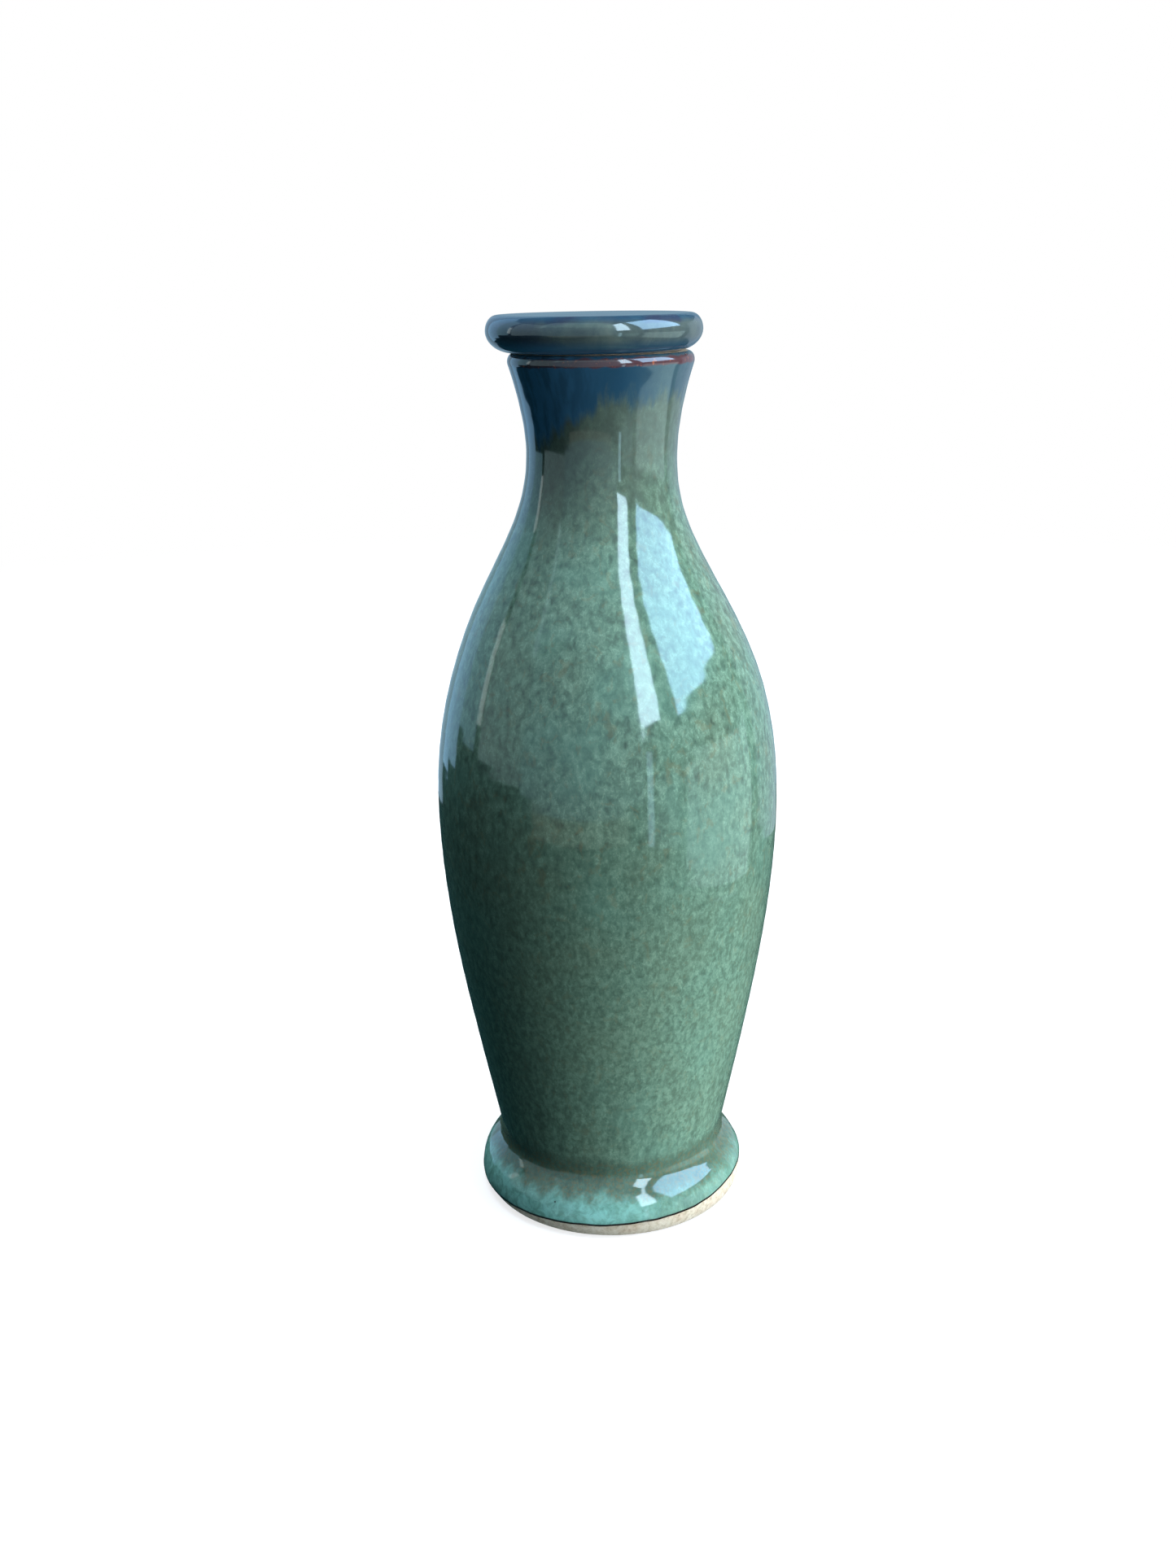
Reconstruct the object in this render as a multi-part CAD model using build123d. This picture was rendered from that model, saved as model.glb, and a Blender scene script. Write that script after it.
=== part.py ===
from build123d import *
import math
import os

# A wheel-thrown stoneware bottle vase with a loose lid. Millimetres, +Z up.
# The origin is on the pot's axis, in the plane that the pot stands on.
# Every outline is drawn with the radius along X and the height along Y, then turned about the axis.

# Heights
seat_height = 240.3  # top of the neck, where the lid rests
lid_thickness = 9.7
lid_top = seat_height + lid_thickness

# Coats and walls
glaze_coat = 0.6  # glaze on the outside of the pot and on the lid
liner_coat = 0.5  # glaze inside the pot
clay_wall = 3.4
floor_thickness = 7.0

# Foot roll: the upper outer quarter of an ellipse, bare clay below the glaze line
roll_center_radius = 24.6
roll_center_height = 4.6
roll_width = 14.15
roll_rise = 12.6
glaze_line = 3.0  # height at which the glaze stops above the table
stand_outer_radius = 36.0
stand_inner_radius = 29.8
stand_edge_round = 1.5
band_corner = (37.35, 0.2)  # pull point of the rounded bare band under the glaze line
recess_depth = 5.0
recess_wall_radius = 27.6

# Outside of the wall, over the glaze
wall_lean = 0.2075  # radius gained per millimetre of height above the foot
wall_start = (36.39, 37.0)  # where the straight cone above the foot starts to round
belly_points = [
    (40.92, 60.0),
    (44.86, 84.0),
    (47.12, 108.0),
    (47.12, 128.0),
    (44.86, 145.0),
    (40.55, 160.0),
    (34.24, 174.5),
    (26.95, 188.5),
    (22.03, 200.0),
]
neck_waist = (19.92, 214.0)
neck_flare_point = (21.45, 227.0)

# Rolled rim of the neck, and the bare seat inside it
rim_center_radius = 22.6
rim_center_height = 238.1
rim_width = 1.75
rim_start_angle = -22.5
mouth_radius = 19.1
mouth_edge_round = 1.0
mouth_lean = 0.15

# Inside of the pot, near the floor
floor_flat_radius = 14.0
floor_turn_radius = 25.5
floor_turn_reach = 20.0

# Lid. It lies a little to one side of the pot's axis.
lid_shift = -1.95
lid_radius = 28.2
lid_widest_height = seat_height + 5.45
lid_lower_width = 7.1  # radial size of the curve under the edge
lid_shoulder_width = 3.1
lid_crown = 0.25
lid_glaze_angle = -73.0  # where the lid's glaze stops, on the lower curve
lid_recess_radius = 11.8
lid_recess_depth = 3.0
lid_recess_round = 2.0

# Locating flange under the lid
flange_length = 10.0
flange_top_radius = 15.6
flange_foot_radius = 14.8
flange_edge_round = 1.2

up = (0, 1)
inward = (-1, 0)
inset_steps = 24


def turned(*edges):
    """Turn a closed outline about the pot's axis."""
    return revolve(Plane.XZ * make_face(edges), Axis.Z)


def inside(curve, depth):
    """A spline that runs depth inside a curve drawn from the foot upwards, square to it."""
    spots = []
    for step in range(inset_steps + 1):
        along = curve % (step / inset_steps)
        across = Vector(-along.Y, along.X) * depth
        spots.append(curve @ (step / inset_steps) + across)
    return Spline(spots, tangents=[curve % 0, curve % 1])


def cone_point(height, depth):
    """A point depth inside the straight cone above the foot."""
    radius = wall_start[0] + (height - wall_start[1]) * wall_lean
    return (radius - depth * math.hypot(1, wall_lean), height)


def roll_arc(depth):
    """The foot roll's curve, depth inside the glaze, from the glaze line up to the cone."""
    width = roll_width - depth
    rise = roll_rise - depth
    start = math.asin((glaze_line - roll_center_height) / rise)
    gap = cone_point(roll_center_height, depth)[0] - roll_center_radius
    slant = math.hypot(width, wall_lean * rise)
    end = math.acos(gap / slant) - math.atan2(wall_lean * rise, width)
    return EllipticalCenterArc(
        (roll_center_radius, roll_center_height),
        width,
        rise,
        math.degrees(start),
        arc_size=math.degrees(end - start),
    )


# Outside of the pot over the glaze, from the foot up

roll_outer = roll_arc(0)
roll_clay = roll_arc(glaze_coat)
cone_outer = Line(roll_outer @ 1, wall_start)
belly_outer = Spline([wall_start, *belly_points, neck_waist], tangents=[(wall_lean, 1), up])
rim_outer = EllipticalCenterArc(
    (rim_center_radius, rim_center_height),
    rim_width,
    seat_height - rim_center_height,
    rim_start_angle,
    arc_size=90 - rim_start_angle,
)
neck_outer = Spline([neck_waist, neck_flare_point, rim_outer @ 0], tangents=[up, rim_outer % 0])

# Clay surface under the outer glaze

belly_clay = inside(belly_outer, glaze_coat)
neck_clay = inside(neck_outer, glaze_coat)
rim_clay = inside(rim_outer, glaze_coat)
cone_clay = Line(roll_clay @ 1, belly_clay @ 0)


def cavity(depth, coat):
    """The inside of the pot from the middle of its floor to its mouth, depth inside the outside."""
    belly = inside(belly_outer, depth)
    floor = recess_depth + floor_thickness + coat
    corner = Bezier(
        (floor_flat_radius, floor),
        (floor_turn_radius - coat, floor),
        belly @ 0 - (belly % 0) * floor_turn_reach,
        belly @ 0,
    )
    bottom = Line((0, floor), corner @ 0)
    mouth_end = (mouth_radius + liner_coat - coat, seat_height - mouth_edge_round)
    mouth = Spline([belly @ 1, mouth_end], tangents=[up, (mouth_lean, 1)])
    return [bottom, corner, belly, mouth]


cavity_clay = cavity(glaze_coat + clay_wall, 0)
cavity_liner = cavity(glaze_coat + clay_wall + liner_coat, liner_coat)


def make_vase_body():
    """Thrown clay bottle: flat base, cone, belly, neck, and the bare seat at the mouth."""
    base_edge = cone_point(recess_depth, glaze_coat)
    base = Line((0, recess_depth), base_edge)
    lower_cone = Line(base_edge, roll_clay @ 1)
    rim_step = Line(rim_clay @ 1, rim_outer @ 1)
    seat = Line(rim_outer @ 1, (mouth_radius + mouth_edge_round, seat_height))
    mouth_edge = RadiusArc(seat @ 1, cavity_liner[-1] @ 1, -mouth_edge_round)
    mouth_step = Line(mouth_edge @ 1, cavity_clay[-1] @ 1)
    axis = Line((0, recess_depth), cavity_clay[0] @ 0)
    outside = [base, lower_cone, cone_clay, belly_clay, neck_clay, rim_clay]
    return turned(*outside, rim_step, seat, mouth_edge, mouth_step, *cavity_clay, axis)


def make_foot_ring():
    """Clay roll luted round the base. The pot stands on its flat underside."""
    band = Bezier(roll_clay @ 0, band_corner, (stand_outer_radius, 0))
    stand = Line(band @ 1, (stand_inner_radius, 0))
    stand_edge_end = (stand_inner_radius - stand_edge_round, stand_edge_round)
    stand_edge = RadiusArc(stand @ 1, stand_edge_end, stand_edge_round)
    recess_wall = Line(stand_edge @ 1, (recess_wall_radius, recess_depth))
    ledge = Line(recess_wall @ 1, cone_point(recess_depth, glaze_coat))
    joint_face = Line(ledge @ 1, roll_clay @ 1)
    return turned(roll_clay, band, stand, stand_edge, recess_wall, ledge, joint_face)


def make_outer_glaze():
    """Glaze coat from the glaze line on the foot to the edge of the bare seat."""
    foot_end = Line(roll_clay @ 0, roll_outer @ 0)
    rim_end = Line(rim_clay @ 1, rim_outer @ 1)
    outer = [roll_outer, cone_outer, belly_outer, neck_outer, rim_outer]
    inner = [roll_clay, cone_clay, belly_clay, neck_clay, rim_clay]
    return turned(foot_end, *outer, rim_end, *inner)


def make_liner_glaze():
    """Glaze coat over the whole inside of the pot."""
    axis = Line(cavity_clay[0] @ 0, cavity_liner[0] @ 0)
    mouth_end = Line(cavity_clay[-1] @ 1, cavity_liner[-1] @ 1)
    return turned(*cavity_clay, mouth_end, *cavity_liner, axis)


def lid_edges(depth):
    """The lid's glazed surface, depth inside it: lower curve, shoulder and crowned top."""
    lower = EllipticalCenterArc(
        (lid_radius - lid_lower_width, lid_widest_height),
        lid_lower_width - depth,
        lid_widest_height - seat_height - depth,
        lid_glaze_angle,
        arc_size=-lid_glaze_angle,
    )
    shoulder = EllipticalCenterArc(
        (lid_radius - lid_shoulder_width, lid_widest_height),
        lid_shoulder_width - depth,
        lid_top - lid_crown - lid_widest_height - depth,
        0,
        arc_size=90,
    )
    crown = Spline([shoulder @ 1, (0, lid_top - depth)], tangents=[inward, inward])
    return [lower, shoulder, crown]


lid_outer = lid_edges(0)
lid_clay = lid_edges(glaze_coat)


def make_lid_disc():
    """Clay disc of the lid, hollowed a little from below and bare where it rests."""
    recess_top = seat_height + lid_recess_depth
    roof = Line((0, recess_top), (lid_recess_radius - lid_recess_round, recess_top))
    recess_wall_top = (lid_recess_radius, recess_top - lid_recess_round)
    roof_edge = RadiusArc(roof @ 1, recess_wall_top, lid_recess_round)
    recess_wall = Line(roof_edge @ 1, (lid_recess_radius, seat_height))
    underside = Line(recess_wall @ 1, (lid_radius - lid_lower_width, seat_height))
    bare_curve = EllipticalCenterArc(
        (lid_radius - lid_lower_width, lid_widest_height),
        lid_lower_width,
        lid_widest_height - seat_height,
        -90,
        arc_size=90 + lid_glaze_angle,
    )
    step = Line(bare_curve @ 1, lid_clay[0] @ 0)
    axis = Line(roof @ 0, lid_clay[-1] @ 1)
    disc = turned(roof, roof_edge, recess_wall, underside, bare_curve, step, *lid_clay, axis)
    return Pos(lid_shift, 0, 0) * disc


def make_lid_flange():
    """Ring of clay under the lid that hangs loosely inside the mouth of the neck."""
    low = seat_height - flange_length
    inner_wall = Line((lid_recess_radius, seat_height), (lid_recess_radius, low + flange_edge_round))
    inner_round = RadiusArc(inner_wall @ 1, (lid_recess_radius + flange_edge_round, low), -flange_edge_round)
    tip = Line(inner_round @ 1, (flange_foot_radius - flange_edge_round, low))
    outer_round = RadiusArc(tip @ 1, (flange_foot_radius, low + flange_edge_round), -flange_edge_round)
    outer_wall = Line(outer_round @ 1, (flange_top_radius, seat_height))
    joint_face = Line(outer_wall @ 1, inner_wall @ 0)
    ring = turned(inner_wall, inner_round, tip, outer_round, outer_wall, joint_face)
    return Pos(lid_shift, 0, 0) * ring


def make_lid_glaze():
    """Glaze coat on the top, edge and lower curve of the lid."""
    low_end = Line(lid_clay[0] @ 0, lid_outer[0] @ 0)
    axis = Line(lid_clay[-1] @ 1, lid_outer[-1] @ 1)
    return Pos(lid_shift, 0, 0) * turned(low_end, *lid_outer, axis, *lid_clay)


nodes = {
    "vase_body": make_vase_body(),
    "foot_ring": make_foot_ring(),
    "outer_glaze": make_outer_glaze(),
    "liner_glaze": make_liner_glaze(),
    "lid_disc": make_lid_disc(),
    "lid_flange": make_lid_flange(),
    "lid_glaze": make_lid_glaze(),
}

os.makedirs("parts", exist_ok=True)
for name, solid in nodes.items():
    solid.label = name
    export_step(solid, f"parts/{name}.step")
    print(name, round(solid.volume / 1000, 2), "cm3", solid.bounding_box())
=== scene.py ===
import math

import bmesh
import bpy
import numpy as np
from mathutils import Matrix, Vector, noise
from mathutils.geometry import interpolate_bezier


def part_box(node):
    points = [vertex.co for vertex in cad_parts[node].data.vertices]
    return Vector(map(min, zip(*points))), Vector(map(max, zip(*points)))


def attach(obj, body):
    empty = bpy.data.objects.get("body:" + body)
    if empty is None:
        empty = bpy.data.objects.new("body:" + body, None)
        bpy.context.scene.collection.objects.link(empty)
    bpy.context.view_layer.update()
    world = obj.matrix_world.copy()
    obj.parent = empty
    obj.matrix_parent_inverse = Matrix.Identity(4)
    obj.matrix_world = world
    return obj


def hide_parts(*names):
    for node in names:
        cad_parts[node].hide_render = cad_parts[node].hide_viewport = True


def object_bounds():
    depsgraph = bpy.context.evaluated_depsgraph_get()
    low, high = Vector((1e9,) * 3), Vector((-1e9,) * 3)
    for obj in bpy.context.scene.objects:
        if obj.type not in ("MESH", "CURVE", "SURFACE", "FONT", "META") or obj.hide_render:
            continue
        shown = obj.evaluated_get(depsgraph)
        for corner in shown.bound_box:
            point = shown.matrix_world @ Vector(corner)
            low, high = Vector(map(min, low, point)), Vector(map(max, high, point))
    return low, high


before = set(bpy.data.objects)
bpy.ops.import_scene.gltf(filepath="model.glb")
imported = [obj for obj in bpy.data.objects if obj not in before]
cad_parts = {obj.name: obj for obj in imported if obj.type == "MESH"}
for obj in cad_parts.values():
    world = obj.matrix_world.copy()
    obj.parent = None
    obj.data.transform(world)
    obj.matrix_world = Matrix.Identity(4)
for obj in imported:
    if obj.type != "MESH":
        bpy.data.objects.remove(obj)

cadLow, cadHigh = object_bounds()
scene = bpy.context.scene
scene.view_settings.view_transform = "Standard"
mm = 0.001

# heights and radii that the pieces share, read from the frame
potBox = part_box("outer_glaze")
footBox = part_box("foot_ring")
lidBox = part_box("lid_glaze")
glazeLine = potBox[0].z
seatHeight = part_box("vase_body")[1].z
creaseHeight = footBox[1].z
footRadius = footBox[1].x
lidCentre = (lidBox[0].x + lidBox[1].x) / 2


# how the pot strays from a true turned shape, as a hand-thrown one does
handMade = {
    "sway": -1.1 * mm,  # the shoulder stands a little to the left
    "swayFrom": 148 * mm,
    "swayMiddle": 186 * mm,
    "swayTo": 222 * mm,
    "swayLeft": 0.25,  # the share that the neck keeps
    "ripple": 0.07 * mm,
    "rippleSize": 16 * mm,
    "rings": 0.025 * mm,  # throwing rings
    "ringPitch": 6.5 * mm,
    "axisReach": 5 * mm,  # nearer the axis than this, nothing ripples
    "trueFoot": (22 * mm, 50 * mm),  # the pot goes from true to rippled between these heights
    "trueRim": (seatHeight - 14 * mm, seatHeight - 4 * mm),  # and back again below the rim
}


def smoothStep(low, high, value):
    t = max(0.0, min(1.0, (value - low) / (high - low)))
    return t * t * (3 - 2 * t)


# the outline of a turned CAD node, read along its seam in the plane y = 0, as a wire
def seamWire(node, centre):
    wire = bmesh.new()
    wire.from_mesh(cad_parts[node].data)
    bmesh.ops.remove_doubles(wire, verts=wire.verts, dist=1e-7)
    off = [v for v in wire.verts if abs(v.co.y) > 1e-7 or v.co.x < centre - 1e-7]
    bmesh.ops.delete(wire, geom=off, context="VERTS")
    for v in wire.verts:
        v.co.x -= centre
    return wire


# the wire's points in order; a closed outline starts at its lowest outer corner
def walk(wire):
    ends = [v for v in wire.verts if len(v.link_edges) == 1]
    start = min(ends or wire.verts, key=lambda v: (round(v.co.z, 5), -v.co.x))
    points, last, here = [start.co.copy()], None, start
    while True:
        onward = [e.other_vert(here) for e in here.link_edges if e.other_vert(here) is not last]
        if last is None and not ends:
            onward = [max(onward, key=lambda v: v.co.x)]
        if not onward or onward[0] is start:
            return points, not ends
        last, here = here, onward[0]
        points.append(here.co.copy())


# smooth runs are filled in with Bezier spans, and corners sharper than the limit stay
def refine(points, closed, spacing, corner=math.radians(14)):
    count = len(points)
    spans = count if closed else count - 1

    def at(i):
        return points[i % count] if closed else points[max(0, min(count - 1, i))]

    def isCorner(i):
        a, b, c = at(i - 1), at(i), at(i + 1)
        if (b - a).length < 1e-9 or (c - b).length < 1e-9:
            return True
        return (b - a).angle(c - b) > corner

    fine = []
    for i in range(spans):
        a, b = at(i), at(i + 1)
        reach = (b - a).length
        along = (b - a).normalized()
        before = along if isCorner(i) else (at(i + 1) - at(i - 1)).normalized()
        after = along if isCorner(i + 1) else (at(i + 2) - at(i)).normalized()
        cuts = max(1, round(reach / spacing))
        fine += interpolate_bezier(a, a + before * reach / 3, b - after * reach / 3, b, cuts + 1)[:-1]
    if not closed:
        fine.append(points[-1].copy())
    return [Vector(p) for p in fine]


def nearest(bm, radius, height):
    target = Vector((radius, 0, height))
    return min(bm.verts, key=lambda v: (v.co - target).length)


# rounds off a wide bend of the outline, as far as the reach on both sides of one point
def ease(points, radius, height, reach, rounds):
    middle = Vector((radius, 0, height))
    for _ in range(rounds):
        old = [p.copy() for p in points]
        bend = min(range(len(old)), key=lambda i: (old[i] - middle).length)
        for step in (-1, 1):
            i = bend + (step > 0)
            while (old[i] - middle).length < reach:
                points[i] = (old[i - 1] + 2 * old[i] + old[i + 1]) / 4
                i += step


# a turned piece: the node's outline, refined, its corners rounded, spun and shaped by hand
def turnPiece(name, node, settings, shape=None, centre=0.0):
    wire = seamWire(node, centre)
    points, closed = walk(wire)
    wire.free()
    points = refine(points, closed, settings["spacing"])
    for bend in settings.get("eased", []):
        ease(points, *bend)
    bm = bmesh.new()
    verts = [bm.verts.new(p) for p in points]
    for a, b in zip(verts, verts[1:] + (verts[:1] if closed else [])):
        bm.edges.new((a, b))
    for radius, height, offset in settings.get("rounded", []):
        bmesh.ops.bevel(
            bm,
            geom=[nearest(bm, radius, height)],
            offset=offset,
            offset_type="OFFSET",
            affect="VERTICES",
            segments=settings["roundSegments"],
            profile=0.5,
            material=-1,
            clamp_overlap=False,
        )
    bmesh.ops.spin(
        bm,
        geom=bm.verts[:] + bm.edges[:],
        cent=(0, 0, 0),
        axis=(0, 0, 1),
        angle=2 * math.pi,
        steps=settings["segments"],
        use_merge=True,
    )
    bmesh.ops.remove_doubles(bm, verts=bm.verts, dist=2e-6)
    bmesh.ops.dissolve_degenerate(bm, edges=bm.edges, dist=1e-7)
    bmesh.ops.recalc_face_normals(bm, faces=bm.faces)
    if shape:
        shape(bm)
    for v in bm.verts:
        v.co.x += centre
    mesh = bpy.data.meshes.new(name)
    bm.to_mesh(mesh)
    bm.free()
    mesh.polygons.foreach_set("use_smooth", [True] * len(mesh.polygons))
    piece = bpy.data.objects.new(name, mesh)
    scene.collection.objects.link(piece)
    print(name, len(mesh.polygons), "faces")
    return piece


# moves a point of the pot from the true turned shape to the thrown one
def throwPoint(co):
    h = handMade
    held = smoothStep(*h["trueFoot"], co.z) * (1 - smoothStep(*h["trueRim"], co.z))
    radius = math.hypot(co.x, co.y)
    if held and radius > h["axisReach"]:
        outward = Vector((co.x, co.y, 0)) / radius
        around = noise.noise((outward * footRadius + Vector((0, 0, co.z))) / h["rippleSize"])
        turn = math.atan2(co.y, co.x) / (2 * math.pi)
        ring = math.sin(2 * math.pi * (co.z / h["ringPitch"] + turn))
        co = co + outward * held * (h["ripple"] * around + h["rings"] * ring)
    rise = smoothStep(h["swayFrom"], h["swayMiddle"], co.z)
    fall = 1 - (1 - h["swayLeft"]) * smoothStep(h["swayMiddle"], h["swayTo"], co.z)
    return co + Vector((h["sway"] * rise * fall, 0, 0))


glazeSettings = {
    "spacing": 1.6 * mm,
    "segments": 192,
    "rounded": [(38.64 * mm, 3.0 * mm, 0.3 * mm), (22.6 * mm, 240.3 * mm, 0.25 * mm)],
    "roundSegments": 5,
    "eased": [(31.91 * mm, 15.39 * mm, 6 * mm, 4)],  # the glaze fills the crease above the foot
    "lineRise": 1.5 * mm,  # the glaze stops higher at the right than at the left
    "lineDrift": 1.7 * mm,
    "lineJump": 1.1 * mm,
    "lineRipple": 0.25 * mm,
    "lineRipples": 7.0,
    "lineReach": 10 * mm,
    "roll": 0.16 * mm,  # the fat roll where the glaze stopped running
    "rollHeight": 1.0 * mm,
    "rollReach": 1.1 * mm,
}


# how far above its lowest level the glaze line runs on this side of the foot
def lineRise(co):
    g = glazeSettings
    outward = Vector((co.x, co.y, 0)).normalized()
    rise = g["lineRise"] + g["lineDrift"] * outward.x + g["lineJump"] * smoothStep(0.6, 1, outward.x)
    return rise + g["lineRipple"] * noise.noise(outward * g["lineRipples"])


# the foot's outline as two rising runs of (height, radius): the outside of the coat, then its inside
def footRuns():
    wire = seamWire("outer_glaze", 0.0)
    points, closed = walk(wire)
    wire.free()
    runs = []
    for ordered in (points, points[1:][::-1]):
        count = next(i for i, p in enumerate(ordered) if p.z > creaseHeight)
        runs.append(([p.z for p in ordered[:count]], [p.x for p in ordered[:count]]))
    return runs


# slides the edge of the coat up the foot to the glaze line, and swells it into a roll
def shapeGlaze(bm):
    g = glazeSettings
    runs = footRuns()
    edge = bm.verts.layers.float.new("edge")
    for v in bm.verts:
        v[edge] = (v.co.z - glazeLine) / mm
        if v.co.z < creaseHeight:
            radius = math.hypot(v.co.x, v.co.y)
            outward = Vector((v.co.x, v.co.y, 0)) / radius
            heights, radii = min(runs, key=lambda run: abs(radius - np.interp(v.co.z, *run)))
            proud = radius - np.interp(v.co.z, heights, radii)
            level = v.co.z - glazeLine
            if radii is runs[0][1]:
                proud += g["roll"] * math.exp(-(((level - g["rollHeight"]) / g["rollReach"]) ** 2))
            height = v.co.z + lineRise(v.co) * (1 - smoothStep(0, g["lineReach"], level))
            v.co = outward * (np.interp(height, heights, radii) + proud)
            v.co.z = height
        v.co = throwPoint(v.co)


def shapePot(bm):
    for v in bm.verts:
        v.co = throwPoint(v.co)


clayBodySettings = {
    "spacing": 1.8 * mm,
    "segments": 160,
}
linerSettings = {
    "spacing": 1.8 * mm,
    "segments": 160,
    "rounded": [(19.1 * mm, 239.3 * mm, 0.2 * mm)],
    "roundSegments": 3,
}
footSettings = {
    "spacing": 0.9 * mm,
    "segments": 192,
    "grooves": 0.06 * mm,  # the trimming tool's rings under the foot
    "groovePitch": 1.7 * mm,
    "grooveFrom": 30.5 * mm,
    "grooveTo": 35.5 * mm,
    "grooveTop": 0.3 * mm,
}
lidSettings = {
    "spacing": 0.9 * mm,
    "segments": 192,
    "ripple": 0.06 * mm,  # hollows left by the fingers
    "rippleSize": 11 * mm,
    "rippleFrom": seatHeight + 1 * mm,
    "rippleFull": seatHeight + 3 * mm,
    "axisReach": 1 * mm,
}
lidClaySettings = {
    "spacing": 0.9 * mm,
    "segments": 160,
}


def shapeFoot(bm):
    f = footSettings
    for v in bm.verts:
        radius = math.hypot(v.co.x, v.co.y)
        if v.co.z < f["grooveTop"] and f["grooveFrom"] < radius < f["grooveTo"]:
            v.co.z += f["grooves"] * (0.5 + 0.5 * math.sin(2 * math.pi * radius / f["groovePitch"]))
        v.co = throwPoint(v.co)


def shapeLid(bm):
    s = lidSettings
    for v in bm.verts:
        radius = math.hypot(v.co.x, v.co.y)
        if v.co.z > s["rippleFrom"] and radius > s["axisReach"]:
            held = smoothStep(s["rippleFrom"], s["rippleFull"], v.co.z)
            inward = -held * s["ripple"] * (0.5 + 0.5 * noise.noise(v.co / s["rippleSize"]))
            v.co += Vector((v.co.x, v.co.y, 0)) / radius * inward


glazeCoat = turnPiece("glazeCoat", "outer_glaze", glazeSettings, shapeGlaze)
linerCoat = turnPiece("linerCoat", "liner_glaze", linerSettings, shapePot)
potClay = turnPiece("potClay", "vase_body", clayBodySettings, shapePot)
footRing = turnPiece("footRing", "foot_ring", footSettings, shapeFoot)
lidCoat = turnPiece("lidCoat", "lid_glaze", lidSettings, shapeLid, centre=lidCentre)
lidClay = turnPiece("lidClay", "lid_disc", lidClaySettings, centre=lidCentre)
lidFlange = turnPiece("lidFlange", "lid_flange", lidClaySettings, centre=lidCentre)
print("the seven pieces are turned")


# wraps a node's output socket, so that sums on it add Math nodes
class Wire:
    def __init__(self, tree, socket=None):
        self.tree = tree
        self.socket = socket

    # any node: its settings first, then what its sockets hold or are linked to
    def node(self, kind, settings=None, inputs=None, output=0):
        made = self.tree.nodes.new(kind)
        for key, value in (settings or {}).items():
            if key == "stops":
                ramp = made.color_ramp.elements
                while len(ramp) < len(value):
                    ramp.new(0.5)
                for stop, (place, colour) in zip(ramp, value):
                    stop.position = place
                    stop.color = (*colour, 1)
            else:
                setattr(made, key, value)
        for key, value in (inputs or {}).items():
            if isinstance(value, Wire):
                self.tree.links.new(value.socket, made.inputs[key])
            elif value is not None:
                made.inputs[key].default_value = value
        return Wire(self.tree, made.outputs[output])

    def math(self, operation, first, second=None):
        return self.node("ShaderNodeMath", {"operation": operation}, {0: first, 1: second})

    def __add__(self, other):
        return self.math("ADD", self, other)

    def __radd__(self, other):
        return self.math("ADD", other, self)

    def __sub__(self, other):
        return self.math("SUBTRACT", self, other)

    def __rsub__(self, other):
        return self.math("SUBTRACT", other, self)

    def __mul__(self, other):
        return self.math("MULTIPLY", self, other)

    def __rmul__(self, other):
        return self.math("MULTIPLY", other, self)

    # 0 below low and 1 above high, smooth between
    def step(self, low, high):
        limits = {"Value": self, "From Min": low, "From Max": high, "To Min": 0.0, "To Max": 1.0}
        return self.node("ShaderNodeMapRange", {"interpolation_type": "SMOOTHSTEP"}, limits)

    # 1 between the two heights, fading over the given distance outside them
    def band(self, low, high, fade):
        return self.step(low - fade, low) * (1 - self.step(high, high + fade))

    def ramp(self, *stops):
        return self.node("ShaderNodeValToRGB", {"stops": stops}, {0: self})

    # stretches a vector along the axes
    def stretch(self, x, y, z):
        return self.node("ShaderNodeVectorMath", {"operation": "MULTIPLY"}, {0: self, 1: (x, y, z)})

    def axis(self, name):
        return self.node("ShaderNodeSeparateXYZ", {}, {0: self}, output="XYZ".index(name))

    # noise about a half, with features of this many units across
    def noise(self, size, detail=2.0, rough=0.5, warp=0.0):
        sockets = {"Vector": self, "Scale": 1 / size, "Detail": detail}
        sockets.update({"Roughness": rough, "Distortion": warp})
        return self.node("ShaderNodeTexNoise", {}, sockets)

    # 1 along the thin lines where the noise passes its middle value
    def threads(self, size, width, warp):
        return 1 - self.math("ABSOLUTE", self.noise(size, 2, 0.5, warp) - 0.5).step(0.0, width)

    # small round spots: 1 inside, in the given share of the cells
    def spots(self, cell, radius, share):
        sockets = {"Vector": self, "Scale": 1 / cell}
        distance = self.node("ShaderNodeTexVoronoi", {}, sockets)
        pick = self.node("ShaderNodeTexVoronoi", {}, sockets, output=1)
        chosen = pick.node("ShaderNodeSeparateColor", {}, {0: pick}).step(1 - share, 1 - share + 0.01)
        return (1 - distance.step(radius * 0.6 / cell, radius / cell)) * chosen


# this colour goes over to another where the mask is 1
def blendTo(colour, other, mask):
    colour, other = [(*c[:3], 1) if isinstance(c, tuple) else c for c in (colour, other)]
    return mask.node("ShaderNodeMix", {"data_type": "RGBA"}, {0: mask, 6: colour, 7: other}, output=2)


# a colour as a screen shows it, in 0 to 255, made linear
def tint(red, green, blue):
    parts = [c / 255 for c in (red, green, blue)]
    return tuple(c / 12.92 if c <= 0.04045 else ((c + 0.055) / 1.055) ** 2.4 for c in parts)


# a new material, with the object's own coordinates in millimetres
def newMaterial(name, sockets):
    material = bpy.data.materials.new(name)
    material.use_nodes = True
    shader = material.node_tree.nodes["Principled BSDF"]
    for key, value in sockets.items():
        shader.inputs[key].default_value = value
    place = Wire(material.node_tree).node("ShaderNodeTexCoord", output="Object")
    return material, shader, place.stretch(1 / mm, 1 / mm, 1 / mm)


def plug(shader, name, wire):
    wire.tree.links.new(wire.socket, shader.inputs[name])


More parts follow.
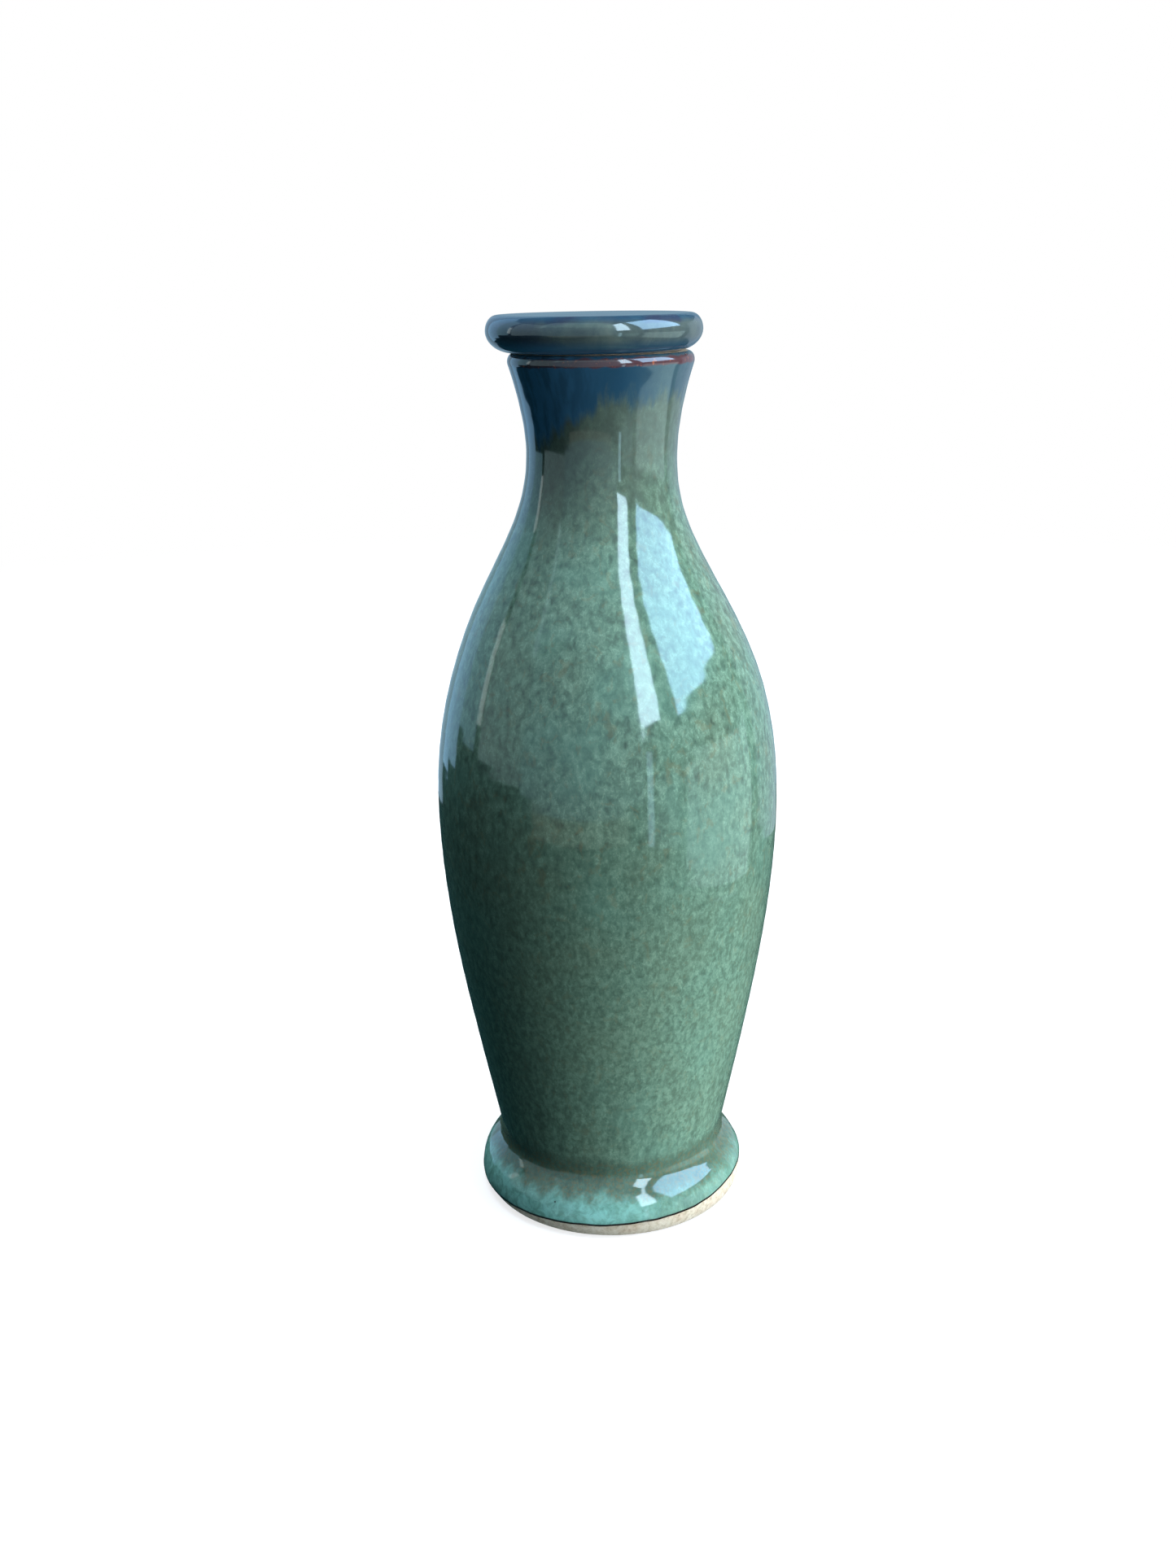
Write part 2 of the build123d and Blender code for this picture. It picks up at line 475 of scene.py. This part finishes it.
def bump(height, strength, distance):
    sockets = {"Strength": strength, "Distance": distance * mm, "Height": height}
    return height.node("ShaderNodeBump", {}, sockets)


# colours of the glazes, thin and dark to thick and pale
glazeTints = {
    "deep": tint(66, 88, 76),
    "middle": tint(92, 124, 106),
    "pale": tint(116, 150, 130),
    "thread": tint(142, 184, 158),
    "olive": tint(112, 110, 80),
    "sea": tint(100, 148, 132),
    "navy": tint(34, 74, 100),
    # a paler blue, painted light for the shaded left of the neck and of the lid's lower curve
    "cobaltWithPaintedLight": tint(70, 134, 180),
    "smoke": tint(80, 92, 86),
    "iron": tint(92, 58, 60),
    "amber": tint(190, 106, 66),
    "poolShade": tint(112, 172, 158),
    "turquoise": tint(146, 218, 208),
    "line": tint(38, 28, 26),
    "plum": tint(52, 44, 70),
    "lidDeep": tint(58, 72, 78),
    # a painted reflection for the lid's left end
    "lidPaintedReflection": tint(60, 76, 112),
    "lidMiddle": tint(76, 92, 90),
    "lidPale": tint(92, 106, 100),
    "linerDeep": tint(34, 46, 38),
    "linerPale": tint(66, 80, 58),
}
# where the green glaze changes, in millimetres above the table
glazeLevels = {
    "coarser": (60, 150),
    "threads": (55, 135),
    "drips": (18, 62),
    "smoke": (192, 220),
    "navy": (226.5, 232.5),
    "lip": (237.8, 239.3),
    "creaseGlazeAndShade": (13.5, 19),
    "specks": (12, 18),
    "pool": (9.5, 13.5),
    "edge": (0.55, 1.0),  # above the glaze line
}
# and where it changes from left to right of the pot's axis
glazeSides = {
    "navyReach": (-18, 4),
    "navyFade": (4, 18),
    "cobaltWithPaintedLight": (-22, 5),
    "poolFade": (-6, 22),
}
# the same for the lid, and the two heights where the mouth changes
lidLevels = {"shoulder": (248.2, 249.5), "navy": (247.6, 249.2), "under": (241.6, 244.6)}
lidSides = {"shade": (-2, 24), "blue": (-26, -2), "cobaltWithPaintedLight": (-26, 4)}
mouthLevels = {"iron": (236.5, 239), "paintedSeatShade": (238.5, 243)}


# the feathery green mottle of the glaze, with paler threads, olive flecks and runs
def mottle(place, deep, middle, pale, strength):
    t = glazeTints
    run = place.stretch(1, 1, 0.72)
    coarse = place.axis("Z").step(*glazeLevels["coarser"])
    small = (run.noise(1.5, 4, 0.68, 0.3) - 0.5) * (1 - coarse) * 1.5
    large = (run.noise(2, 4, 0.62, 0.25) - 0.5) * coarse
    fine = small + large + 0.5
    colour = fine.ramp((0.28, deep), (0.5, middle), (0.72, pale))
    threads = run.threads(1.3, 0.05, 0.8) * fine.step(0.42, 0.62)
    colour = blendTo(colour, t["thread"], threads * 0.4 * strength)
    cloud = place.noise(24, 2, 0.5)
    colour = blendTo(colour, t["sea"], cloud.step(0.5, 0.68) * 0.3 * strength)
    colour = blendTo(colour, t["olive"], (1 - cloud.step(0.36, 0.52)) * 0.1 * strength)
    colour = blendTo(colour, t["olive"], run.noise(3.2, 3, 0.6, 0.8).step(0.56, 0.68) * 0.32 * strength)
    runs = place.stretch(1, 1, 0.07).noise(2.4).step(0.52, 0.72)
    return blendTo(colour, deep, runs * (0.26 - coarse * 0.12))


# a glossy coat that is not quite level
def glossOf(shader, place):
    plug(shader, "Roughness", 0.05 + place.noise(9, 3, 0.6) * 0.06)
    plug(shader, "Normal", bump(place.noise(4.5, 1.5), 1.0, 0.012))


def makeGreenGlaze():
    t, level, side = glazeTints, glazeLevels, glazeSides
    material, shader, place = newMaterial("greenGlaze", {"IOR": 1.5})
    x, z = place.axis("X"), place.axis("Z")
    wobble = place.stretch(1, 1, 0.45).noise(6, 3, 0.6) - 0.5
    colour = mottle(place, t["deep"], t["middle"], t["pale"], 1.0)
    # the lower body paler: partly the glaze's own colour, partly painted light for the bounce from the
    # table
    low = 1 - z.step(*level["threads"])
    colour = blendTo(colour, t["thread"], low * 0.24)
    drips = place.stretch(1, 1, 0.12).noise(2.6, 3, 0.6).step(0.48, 0.66)
    colour = blendTo(colour, t["deep"], drips * (1 - z.step(*level["drips"])) * 0.4)
    colour = blendTo(colour, t["smoke"], (z + wobble * 22).step(*level["smoke"]) * 0.72)

    # the neck: navy under the rim, reaching further down at the left, and iron at the lip; at the left
    # the navy goes over to a paler cobalt, painted light that lifts the neck's left side where the lid's
    # shade falls
    reach = (1 - x.step(*side["navyReach"])) * 11
    fringe = place.stretch(1, 1, 0.14).noise(2.6, 3, 0.6) - 0.5
    navy = (z + wobble * 7 + fringe * 12 + reach).step(*level["navy"])
    blue = blendTo(t["cobaltWithPaintedLight"], t["navy"], x.step(*side["cobaltWithPaintedLight"]))
    blue = blendTo(blue, t["navy"], fringe.step(-0.1, 0.15) * 0.5)
    colour = blendTo(colour, blue, navy * (0.95 - x.step(*side["navyFade"]) * 0.35))
    lip = place.noise(1.5, 3, 0.65).ramp((0.58, t["iron"]), (0.72, t["amber"]))
    colour = blendTo(colour, lip, (z + wobble * 2.4).band(*level["lip"], 0.6) * 0.85)

    # the foot: dark glaze in the crease, partly painted shade where the slope meets the body, then olive
    # specks, a turquoise pool and the dark edge of the glaze
    colour = blendTo(colour, t["deep"], (z + wobble * 6).band(*level["creaseGlazeAndShade"], 4.5) * 0.6)
    specks = place.noise(0.9, 2, 0.6).step(0.48, 0.6)
    colour = blendTo(colour, t["olive"], specks * z.band(*level["specks"], 5) * 0.6)
    pool = 1 - (z + wobble * 9).step(*level["pool"])
    streaks = place.noise(2.6, 4, 0.66, 0.5).ramp((0.38, t["poolShade"]), (0.62, t["turquoise"]))
    colour = blendTo(colour, streaks, pool * (0.9 - x.step(*side["poolFade"]) * 0.7))
    edge = place.node("ShaderNodeAttribute", {"attribute_name": "edge"}, output="Fac")
    colour = blendTo(colour, t["line"], 1 - edge.step(*level["edge"]))
    colour = blendTo(colour, t["line"], place.spots(8, 0.35, 0.08) * low * 0.8)  # pits
    plug(shader, "Base Color", colour)
    glossOf(shader, place)
    return material


def makeLidGlaze():
    t, level, side = glazeTints, lidLevels, lidSides
    material, shader, place = newMaterial("lidGlaze", {"IOR": 1.5})
    z = place.axis("Z")
    across = place.axis("X") - lidCentre / mm
    wobble = place.noise(6, 3, 0.6) - 0.5
    cloud = place.noise(7, 4, 0.55, 0.5)
    colour = cloud.ramp((0.34, t["lidDeep"]), (0.5, t["lidMiddle"]), (0.66, t["lidPale"]))
    grain = mottle(place, t["lidDeep"], t["lidMiddle"], t["lidPale"], 0.4)
    colour = blendTo(colour, grain, place.noise(9).step(0.35, 0.65) * 0.6)
    # painted shade: the lid's right side, which the window lights, is darkened
    colour = blendTo(colour, t["lidDeep"], across.step(*side["shade"]) * 0.4)
    # painted reflection: the lid's left end turns blue-grey, as if it mirrored a pale sky
    colour = blendTo(colour, t["lidPaintedReflection"], (1 - across.step(*side["blue"])) * 0.6)
    colour = blendTo(colour, t["navy"], (z + wobble * 1.5).step(*level["navy"]) * 0.7)
    shoulder = (z + wobble * 1.6).band(*level["shoulder"], 0.6)
    colour = blendTo(colour, t["plum"], shoulder * place.noise(9).step(0.36, 0.64) * 0.6)
    # painted shade: the lid's lower curve, under its overhang, turns navy, and at the left a paler
    # cobalt that is painted light
    under = blendTo(t["cobaltWithPaintedLight"], t["navy"], across.step(*side["cobaltWithPaintedLight"]))
    colour = blendTo(colour, under, (1 - z.step(*level["under"])) * 0.8)
    plug(shader, "Base Color", colour)
    glossOf(shader, place)
    return material


def makeLinerGlaze():
    t = glazeTints
    material, shader, place = newMaterial("linerGlaze", {"IOR": 1.5})
    colour = place.noise(3, 4, 0.6).ramp((0.35, t["linerDeep"]), (0.65, t["linerPale"]))
    colour = blendTo(colour, t["iron"], place.axis("Z").step(*mouthLevels["iron"]) * 0.5)
    plug(shader, "Base Color", colour)
    glossOf(shader, place)
    return material


clayTints = {
    "shade": tint(204, 192, 164),
    "buff": tint(228, 219, 196),
    "cream": tint(242, 235, 217),
    "grog": tint(136, 108, 78),
    "paintedSeatShade": tint(84, 64, 48),
    "toast": tint(196, 148, 104),
    "toasted": (2.4, 8),  # millimetres above the table
}


# buff stoneware with grog, toasted beside the glaze, with painted shade at the seat where the gap under
# the lid is dark
def makeClay():
    c = clayTints
    material, shader, place = newMaterial("buffClay", {"IOR": 1.45, "Specular IOR Level": 0.25})
    z = place.axis("Z")
    colour = place.noise(1.2, 4, 0.65).ramp((0.35, c["shade"]), (0.5, c["buff"]), (0.68, c["cream"]))
    colour = blendTo(colour, c["grog"], place.spots(1.6, 0.28, 0.35) * 0.55)
    toast = z.band(*c["toasted"], 1.5) * place.noise(5).step(0.35, 0.65)
    colour = blendTo(colour, c["toast"], toast * 0.22)
    # painted shade in the dark gap between the lid and the seat
    colour = blendTo(colour, c["paintedSeatShade"], z.band(*mouthLevels["paintedSeatShade"], 0.8) * 0.6)
    plug(shader, "Base Color", colour)
    plug(shader, "Roughness", 0.68 + place.noise(2, 3, 0.6) * 0.25)
    plug(shader, "Normal", bump(place.noise(0.45, 3, 0.7), 0.8, 0.05))
    return material


greenGlaze = makeGreenGlaze()
lidGlaze = makeLidGlaze()
linerGlaze = makeLinerGlaze()
buffClay = makeClay()
finishes = [
    (glazeCoat, greenGlaze, "green_glaze", "vase", "outer_glaze"),
    (linerCoat, linerGlaze, "liner_glaze", "vase", "liner_glaze"),
    (potClay, buffClay, "bare_clay", "vase", "vase_body"),
    (footRing, buffClay, "bare_clay", "vase", "foot_ring"),
    (lidCoat, lidGlaze, "green_glaze", "lid", "lid_glaze"),
    (lidClay, buffClay, "bare_clay", "lid", "lid_disc"),
    (lidFlange, buffClay, "bare_clay", "lid", "lid_flange"),
]
for piece, material, slotName, body, node in finishes:
    piece.data.materials.append(material)
    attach(piece, body)
    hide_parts(node)
print("the glazes and the clay are on")


# a compass direction round the pot in degrees: 0 is towards the camera, 90 is to the right
def towards(azimuth):
    a = math.radians(azimuth)
    return Vector((math.sin(a), -math.cos(a), 0))


# a soft light panel of a given radiance, facing the pot
def softPanel(name, middle, facing, width, height, glow, roll=0, diffuse=True, glossy=True):
    data = bpy.data.lights.new(name, "AREA")
    data.shape = "RECTANGLE"
    data.size = width
    data.size_y = height
    strongest = max(glow)
    data.color = [g / strongest for g in glow]
    data.energy = math.pi * width * height * strongest
    panel = bpy.data.objects.new(name, data)
    panel.location = middle
    turned = facing.to_track_quat("-Z", "Y").to_matrix() @ Matrix.Rotation(math.radians(roll), 3, "Z")
    panel.rotation_euler = turned.to_euler()
    panel.visible_camera = False
    panel.visible_diffuse = diffuse
    panel.visible_glossy = glossy
    scene.collection.objects.link(panel)
    return panel


# a panel that stands square to its own direction, between two azimuths and two rises
def standPanel(name, azimuths, rises, distance, glow, diffuse=True, glossy=True):
    facing = (azimuths[0] + azimuths[1]) / 2
    spread = math.radians(azimuths[1] - azimuths[0]) / 2
    low, high = [distance * math.tan(math.radians(r)) for r in rises]
    middle = towards(facing) * distance + Vector((0, 0, lampLevel + (low + high) / 2))
    width = 2 * distance * math.tan(spread)
    softPanel(name, middle, -towards(facing), width, high - low, glow, diffuse=diffuse, glossy=glossy)


lampLevel = 0.18  # rises are measured from this height on the axis
# two tall panes of one window to the right: their places along its plane, and its sill and top.
# The panes gleam in the glaze, and lower twins light the clay without gleaming.
window = {
    "azimuth": 75,
    "distance": 1.2,
    "sill": 0.315,
    "top": 1.6,
    "lightSill": -0.45,
    "lightTop": 0.7,
    "light": (0.96, 1.0, 1.06),
    "panes": {
        "widePane": (-0.5, 0.5, 6, (5.2, 9.0, 13.0), 6.1),
        "narrowPane": (-1.235, -0.75, 0, (10.4, 14.4, 17.2), 3.3),
    },
}


def makeWindow():
    w = window
    d = w["distance"]
    facing = -towards(w["azimuth"])
    for name, (start, end, roll, glow, strength) in w["panes"].items():
        place = -facing * d + towards(w["azimuth"] + 90) * d * (start + end) / 2
        for kind, sill, top in (("", w["sill"], w["top"]), ("Light", w["lightSill"], w["lightTop"])):
            middle = Vector((place.x, place.y, lampLevel + d * (sill + top) / 2))
            colour = [strength * c for c in w["light"]] if kind else glow
            size = (d * (end - start), d * (top - sill))
            lit = bool(kind)
            softPanel(name + kind, middle, facing, *size, colour, roll, diffuse=lit, glossy=not lit)


makeWindow()
ceiling = {"place": (0.1, -0.15, 1.6), "size": 0.9, "glow": (9.4, 10.6, 12.2)}
ceilingSize = (ceiling["size"], ceiling["size"])
straightDown = Vector((0, 0, -1))
softPanel("ceiling", Vector(ceiling["place"]), straightDown, *ceilingSize, ceiling["glow"], glossy=False)

# wide dim panels that only gleam in the glaze: azimuths and rises in degrees, radiance
gleamDistance = 1.2
gleams = {
    "lowPane": ((53, 109), (-29, -1), (1.15, 1.65, 1.65)),
    "lowSide": ((32, 47), (-22, -2), (0.5, 0.85, 0.85)),
    "slit": ((25.6, 29.4), (-20, 3), (2.4, 4.0, 4.6)),
    "leftRoom": ((-95, -58), (-8, 42), (0.6, 0.85, 0.9)),
    "leftSoft": ((-121, -100), (-6, 42), (0.45, 0.85, 1.05)),
    "leftSlit": ((-101, -96), (1, 21), (2.0, 2.4, 2.4)),
    "leftSky": ((-134, -121), (-13, 45), (0.55, 1.0, 1.45)),
    "farSky": ((-146, -134), (-16, 45), (0.55, 1.0, 1.45)),
    "leftBack": ((-170, -146), (-20, 45), (0.34, 0.52, 0.68)),
    "behind": ((160, 190), (-20, 40), (0.22, 0.33, 0.42)),
    "rightBack": ((118, 160), (-23, 20), (0.42, 0.52, 0.65)),
    "roomHigh": ((-62, 24), (33, 62), (0.78, 1.28, 1.36)),
    "room": ((-58, 24), (-14, 33), (0.5, 0.78, 0.9)),
    "roomLow": ((-50, 14), (-21, -14), (0.5, 0.52, 0.4)),
}
for name, (azimuths, rises, glow) in gleams.items():
    standPanel(name, azimuths, rises, gleamDistance, glow, diffuse=False)
# a soft light from behind that lights the clay and does not gleam
backFill = {"azimuths": (150, 238), "rises": (-5, 50), "distance": 1.4, "glow": (2.3, 2.5, 2.6)}
standPanel("backFill", **backFill, glossy=False)
print("the lamps are up")


roomTints = {
    "shade": (0.003, 0.026, 0.034, 1),
    "backdrop": (1.0, 1.0, 1.0, 1),
    "nearFloor": (0.74, 0.745, 0.75, 1),
    "underPot": (0.4, 0.4, 0.4),
    "farOff": (0.0, 0.0, 0.0),
    "card": (0.32, 0.32, 0.32, 1),
}


def makeWorld():
    world = bpy.data.worlds.new("room")
    world.use_nodes = True
    scene.world = world
    tree = world.node_tree
    background = tree.nodes["Background"]
    seen = Wire(tree).node("ShaderNodeLightPath", output="Is Camera Ray")
    colour = blendTo(roomTints["shade"], roomTints["backdrop"], seen)
    tree.links.new(colour.socket, background.inputs["Color"])


makeWorld()


def flatDisc(name, radius, height):
    bm = bmesh.new()
    bmesh.ops.create_circle(bm, cap_ends=True, segments=96, radius=radius)
    mesh = bpy.data.meshes.new(name)
    bm.to_mesh(mesh)
    bm.free()
    disc = bpy.data.objects.new(name, mesh)
    disc.location.z = height
    scene.collection.objects.link(disc)
    return disc


# the pale floor that the camera sees: it glows, so that only a soft shadow shows on it
floorSettings = {
    "radius": 30,
    "drop": 0.02 * mm,
    "glowFades": (0.3, 1.25),
    "shadowFades": (0.4, 1.25),
}


def makeFloor():
    f, tints = floorSettings, roomTints
    floor = flatDisc("floor", f["radius"], cadLow.z - f["drop"])
    floor.visible_diffuse = False
    floor.visible_glossy = False
    floor.visible_shadow = False
    plain = {"Roughness": 1, "Specular IOR Level": 0, "Emission Strength": 1}
    paint, shader, place = newMaterial("paleFloor", plain)
    away = place.node("ShaderNodeVectorMath", {"operation": "LENGTH"}, {0: place}, output="Value") * mm
    glow = blendTo(tints["nearFloor"], tints["backdrop"], away.step(*f["glowFades"]))
    plug(shader, "Emission Color", glow)
    grey = blendTo(tints["underPot"], tints["farOff"], away.step(*f["shadowFades"]))
    plug(shader, "Base Color", grey)
    floor.data.materials.append(paint)


# a pale card under the pot throws light back up on its foot
cardSettings = {"radius": 0.062, "drop": 0.3 * mm, "place": (0.03, -0.02)}


def makeCard():
    c = cardSettings
    card = flatDisc("card", c["radius"], cadLow.z - c["drop"])
    card.location.xy = c["place"]
    card.visible_camera = False
    card.visible_glossy = False
    paint = newMaterial("cardPaint", {"Base Color": roomTints["card"], "Roughness": 1})[0]
    card.data.materials.append(paint)


makeFloor()
makeCard()

# a person's eye a little above the lid, looking down at the middle of the pot
eye = {
    "place": (0, -0.4337, 0.2606),
    "lens": 37.131,
    "sensor": 36,
    "heading": 0.01248,
    "down": 0.30813,
    "roll": -0.0165,
}


def makeCamera():
    data = bpy.data.cameras.new("camera")
    data.lens = eye["lens"]
    data.sensor_width = eye["sensor"]
    camera = bpy.data.objects.new("camera", data)
    scene.collection.objects.link(camera)
    turn = Matrix.Rotation(eye["heading"], 4, "Z")
    turn = turn @ Matrix.Rotation(math.pi / 2 - eye["down"], 4, "X")
    turn = turn @ Matrix.Rotation(eye["roll"], 4, "Z")
    camera.matrix_world = Matrix.Translation(eye["place"]) @ turn
    scene.camera = camera


makeCamera()
print("the floor, the card and the camera are in")
